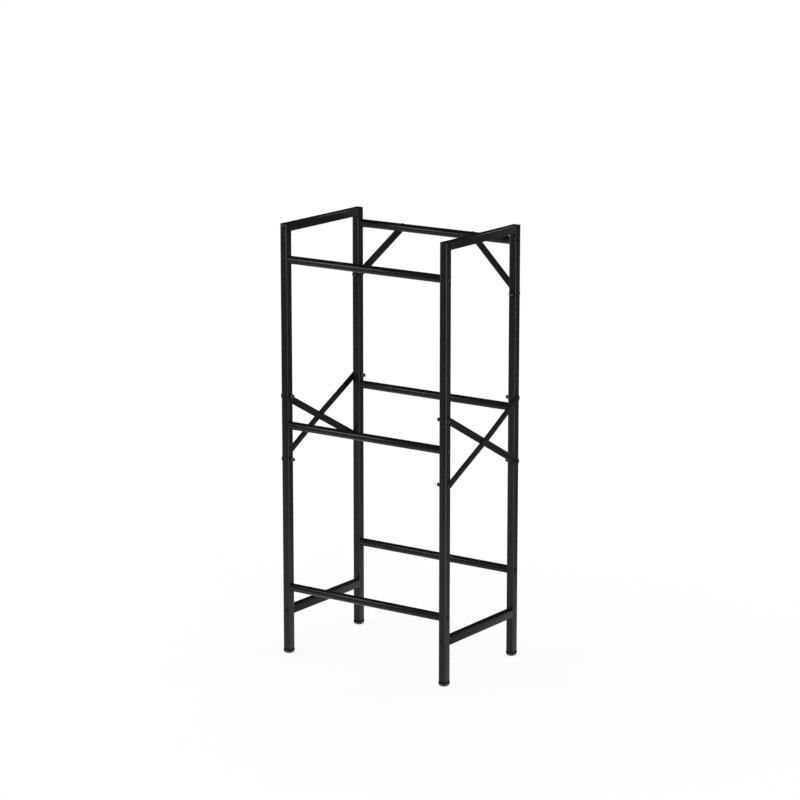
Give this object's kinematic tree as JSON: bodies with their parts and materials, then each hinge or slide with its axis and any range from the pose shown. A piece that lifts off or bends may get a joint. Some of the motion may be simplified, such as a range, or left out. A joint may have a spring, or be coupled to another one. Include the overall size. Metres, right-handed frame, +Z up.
{
  "type": "crate rack",
  "caption": "Black steel crate rack: a tall bolted frame of square uprights with pairs of round rails that hold tipped crates, crossed side braces, rear knee braces and plastic feet.",
  "frame": {"origin": "centre of the footprint on the floor", "axes": "+Z up; the front, where crates go in, faces -Y; +X to the right as seen from the front"},
  "size_m": [0.5012, 0.3289, 1.09],
  "materials": {
    "black_powder_coat": "fine-textured satin black powder coat",
    "black_plastic": "semi-gloss moulded black plastic",
    "black_bolt_steel": "black finished steel, low domed head with a hexagon socket",
    "bolt_with_black_nut": "glossy black dome nut on a black bolt"
  },
  "bodies": {
    "root": {"upright_front_left": "black_powder_coat", "upright_front_right": "black_powder_coat", "upright_rear_left": "black_powder_coat", "upright_rear_right": "black_powder_coat", "lower_side_rail_left": "black_powder_coat", "lower_side_rail_right": "black_powder_coat", "top_side_rail_left": "black_powder_coat", "top_side_rail_right": "black_powder_coat", "front_rail_bottom": "black_powder_coat", "front_rail_middle": "black_powder_coat", "front_rail_top": "black_powder_coat", "rear_rail_bottom": "black_powder_coat", "rear_rail_middle": "black_powder_coat", "rear_rail_top": "black_powder_coat", "side_brace_inner_left": "black_powder_coat", "side_brace_outer_left": "black_powder_coat", "side_brace_inner_right": "black_powder_coat", "side_brace_outer_right": "black_powder_coat", "knee_brace_left": "black_powder_coat", "knee_brace_right": "black_powder_coat", "rail_bolt_front_bottom_left": "black_bolt_steel", "rail_bolt_front_bottom_right": "black_bolt_steel", "rail_bolt_front_middle_left": "black_bolt_steel", "rail_bolt_front_middle_right": "black_bolt_steel", "rail_bolt_front_top_left": "black_bolt_steel", "rail_bolt_front_top_right": "black_bolt_steel", "rail_bolt_rear_bottom_left": "black_bolt_steel", "rail_bolt_rear_bottom_right": "black_bolt_steel", "rail_bolt_rear_middle_left": "black_bolt_steel", "rail_bolt_rear_middle_right": "black_bolt_steel", "rail_bolt_rear_top_left": "black_bolt_steel", "rail_bolt_rear_top_right": "black_bolt_steel", "side_rail_bolt_lower_front_left": "black_bolt_steel", "side_rail_bolt_lower_front_right": "black_bolt_steel", "side_rail_bolt_lower_rear_left": "black_bolt_steel", "side_rail_bolt_lower_rear_right": "black_bolt_steel", "side_rail_bolt_top_front_left": "black_bolt_steel", "side_rail_bolt_top_front_right": "black_bolt_steel", "side_rail_bolt_top_rear_left": "black_bolt_steel", "side_rail_bolt_top_rear_right": "black_bolt_steel", "brace_bolt_low_front_left": "bolt_with_black_nut", "brace_bolt_high_front_left": "bolt_with_black_nut", "brace_bolt_low_rear_left": "bolt_with_black_nut", "brace_bolt_high_rear_left": "bolt_with_black_nut", "brace_bolt_low_front_right": "bolt_with_black_nut", "brace_bolt_high_front_right": "bolt_with_black_nut", "brace_bolt_low_rear_right": "bolt_with_black_nut", "brace_bolt_high_rear_right": "bolt_with_black_nut", "knee_bolt_lower_left": "bolt_with_black_nut", "knee_bolt_upper_left": "black_bolt_steel", "knee_bolt_lower_right": "bolt_with_black_nut", "knee_bolt_upper_right": "black_bolt_steel", "foot_front_left": "black_plastic", "top_plug_front_left": "black_plastic", "foot_front_right": "black_plastic", "top_plug_front_right": "black_plastic", "foot_rear_left": "black_plastic", "top_plug_rear_left": "black_plastic", "foot_rear_right": "black_plastic", "top_plug_rear_right": "black_plastic"}
  },
  "joints": []
}
